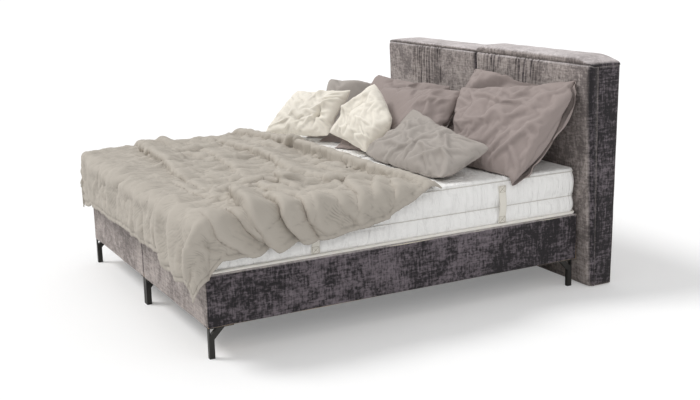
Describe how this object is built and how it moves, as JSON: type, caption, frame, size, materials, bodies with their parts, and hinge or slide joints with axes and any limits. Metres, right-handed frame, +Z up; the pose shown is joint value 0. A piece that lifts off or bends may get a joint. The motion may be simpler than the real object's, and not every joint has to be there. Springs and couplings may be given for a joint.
{
  "type": "upholstered double bed",
  "caption": "Upholstered double bed with split sprung base, two mattresses, tall padded headboard, bent metal legs, duvet, pillows and cushions.",
  "frame": {"origin": "on the floor, under the middle of the whole bed's box", "axes": "+X to the right side seen from the foot, +Y to the head end, +Z up"},
  "size_m": [1.95, 2.26, 1.172],
  "materials": {
    "velvet": "crushed velvet upholstery, grey-mauve, with lighter and darker cross-hatched pile",
    "dust_cloth": "thin black non-woven cloth",
    "timber": "bare pine and board",
    "foam": "open-cell foam",
    "spring_cloth": "spring rows wrapped in non-woven cloth",
    "webbing": "woven tape",
    "mattress_cloth": "white quilted knit",
    "glide_plastic": "moulded glide",
    "zinc_steel": "zinc plated",
    "black_steel": "black powder coat, satin",
    "duvet_cloth": "washed cotton, warm grey, creased",
    "cream_cloth": "cream cotton",
    "greige_cloth": "washed cotton, grey-beige",
    "mauve_cloth": "washed cotton, mauve-grey"
  },
  "bodies": {
    "root": {"base_border_left": "foam", "base_border_right": "foam", "base_cover_left": "velvet", "base_cover_right": "velvet", "base_dust_cloth_left": "dust_cloth", "base_dust_cloth_right": "dust_cloth", "base_frame_left": "timber", "base_frame_right": "timber", "base_link_screws": "zinc_steel", "base_links": "zinc_steel", "base_pad_left": "foam", "base_pad_right": "foam", "base_slats_left": "timber", "base_slats_right": "timber", "base_springs_left": "spring_cloth", "base_springs_right": "spring_cloth", "headboard_back_cover": "velvet", "headboard_bolts": "zinc_steel", "headboard_crown_left": "velvet", "headboard_crown_right": "velvet", "headboard_frame": "timber", "headboard_glides": "glide_plastic", "headboard_nuts": "zinc_steel", "headboard_pad_left": "velvet", "headboard_pad_right": "velvet", "headboard_panel": "timber", "headboard_side_panel_left": "velvet", "headboard_side_panel_right": "velvet", "headboard_spacers": "zinc_steel", "leg_bolts": "zinc_steel", "leg_foot_inner_left": "black_steel", "leg_foot_inner_right": "black_steel", "leg_foot_outer_left": "black_steel", "leg_foot_outer_right": "black_steel", "leg_glides": "glide_plastic", "leg_head_inner_left": "black_steel", "leg_head_inner_right": "black_steel", "leg_head_outer_left": "black_steel", "leg_head_outer_right": "black_steel", "mattress_base_cloth_left": "mattress_cloth", "mattress_base_cloth_right": "mattress_cloth", "mattress_cover_left": "mattress_cloth", "mattress_cover_right": "mattress_cloth", "mattress_foam_left": "foam", "mattress_foam_right": "foam", "mattress_handles_left": "webbing", "mattress_handles_right": "webbing", "mattress_springs_left": "spring_cloth", "mattress_springs_right": "spring_cloth"},
    "duvet": {"duvet": "duvet_cloth"},
    "pillow_far": {"pillow_far": "greige_cloth"},
    "pillow_left_back": {"pillow_left_back": "mauve_cloth"},
    "pillow_right_back": {"pillow_right_back": "mauve_cloth"},
    "pillow_right_middle": {"pillow_right_middle": "mauve_cloth"},
    "pillow_left_front": {"pillow_left_front": "mauve_cloth"},
    "cushion_far": {"cushion_far": "cream_cloth"},
    "cushion_middle": {"cushion_middle": "cream_cloth"},
    "pillow_right_front": {"pillow_right_front": "greige_cloth"}
  },
  "joints": [
    {"name": "duvet_lift", "type": "slide", "parent": "root", "child": "duvet", "axis": [0, 0, 1], "range_m": [0, 0.9]},
    {"name": "pillow_far_lift", "type": "slide", "parent": "root", "child": "pillow_far", "axis": [0, 0, 1], "range_m": [0, 0.6]},
    {"name": "pillow_left_back_lift", "type": "slide", "parent": "pillow_far", "child": "pillow_left_back", "axis": [0, 0, 1], "range_m": [0, 0.6]},
    {"name": "pillow_right_back_lift", "type": "slide", "parent": "pillow_left_back", "child": "pillow_right_back", "axis": [0, 0, 1], "range_m": [0, 0.6]},
    {"name": "pillow_right_middle_lift", "type": "slide", "parent": "pillow_right_back", "child": "pillow_right_middle", "axis": [0, 0, 1], "range_m": [0, 0.6]},
    {"name": "pillow_left_front_lift", "type": "slide", "parent": "pillow_right_middle", "child": "pillow_left_front", "axis": [0, 0, 1], "range_m": [0, 0.6]},
    {"name": "cushion_far_lift", "type": "slide", "parent": "pillow_left_front", "child": "cushion_far", "axis": [0, 0, 1], "range_m": [0, 0.6]},
    {"name": "cushion_middle_lift", "type": "slide", "parent": "pillow_left_front", "child": "cushion_middle", "axis": [0, 0, 1], "range_m": [0, 0.6]},
    {"name": "pillow_right_front_lift", "type": "slide", "parent": "pillow_left_front", "child": "pillow_right_front", "axis": [0, 0, 1], "range_m": [0, 0.6]}
  ]
}
